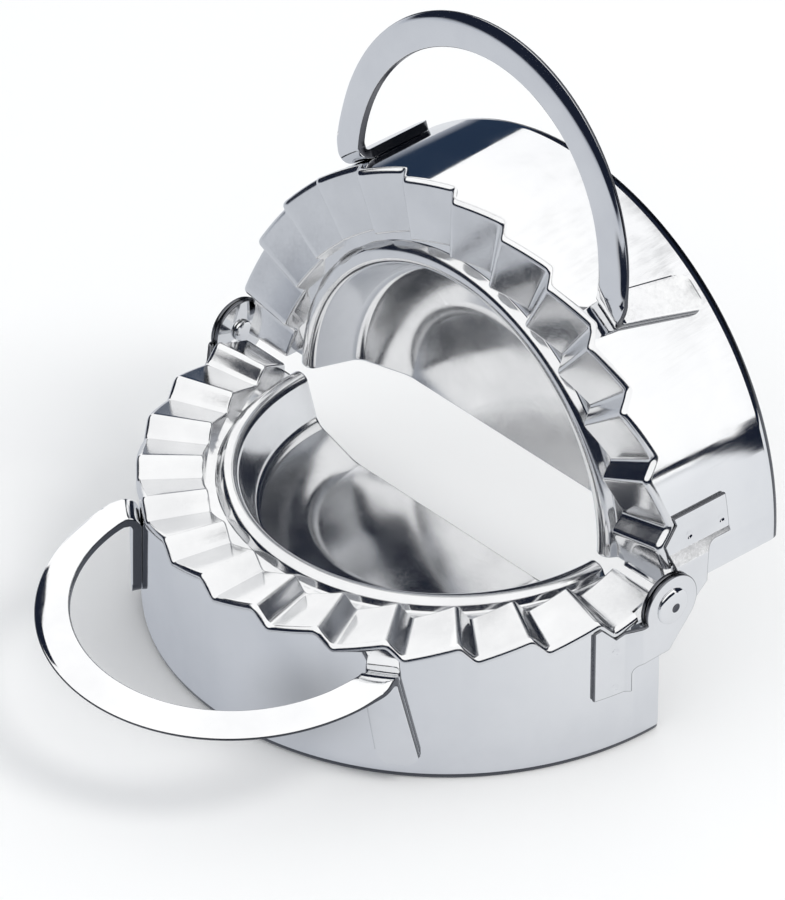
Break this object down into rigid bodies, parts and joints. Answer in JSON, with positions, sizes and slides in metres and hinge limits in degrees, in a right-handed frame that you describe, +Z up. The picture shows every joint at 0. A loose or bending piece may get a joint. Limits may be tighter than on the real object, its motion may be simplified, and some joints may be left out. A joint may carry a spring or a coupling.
{
  "type": "empanada press",
  "caption": "Hinged stainless press that cuts, folds and crimps filled half-moon pastries between two fluted half bowls with loop handles.",
  "frame": {"origin": "middle of the whole press in plan, at the level of the lower cutting edge it stands on", "axes": "+X along the hinge line towards the right-hand hinge, +Y from the lower handle towards the hinge, +Z up from the cutting edge"},
  "size_m": [0.101, 0.0998, 0.0995],
  "materials": {
    "skirt_steel": "mirror-polished stainless steel sheet",
    "plate_steel": "polished stainless steel, pressed",
    "handle_steel": "mirror-polished stainless steel bar",
    "bracket_steel": "polished stainless steel strip, spot-welded",
    "rivet_steel": "polished steel rivet"
  },
  "bodies": {
    "lower_half": {"lower_skirt": "skirt_steel", "lower_crimp_plate": "plate_steel", "lower_handle": "handle_steel", "lower_bracket_right": "bracket_steel", "lower_bracket_left": "bracket_steel", "hinge_rivet_right": "rivet_steel", "hinge_rivet_left": "rivet_steel"},
    "upper_half": {"upper_skirt": "skirt_steel", "upper_crimp_plate": "plate_steel", "upper_handle": "handle_steel", "upper_bracket_right": "bracket_steel", "upper_bracket_left": "bracket_steel"}
  },
  "joints": [
    {"name": "press_hinge", "type": "hinge", "parent": "lower_half", "child": "upper_half", "pos_m": [0, 0.02389, 0.0244], "axis": [1, 0, 0], "range_deg": [-88.1, 91.9]}
  ]
}
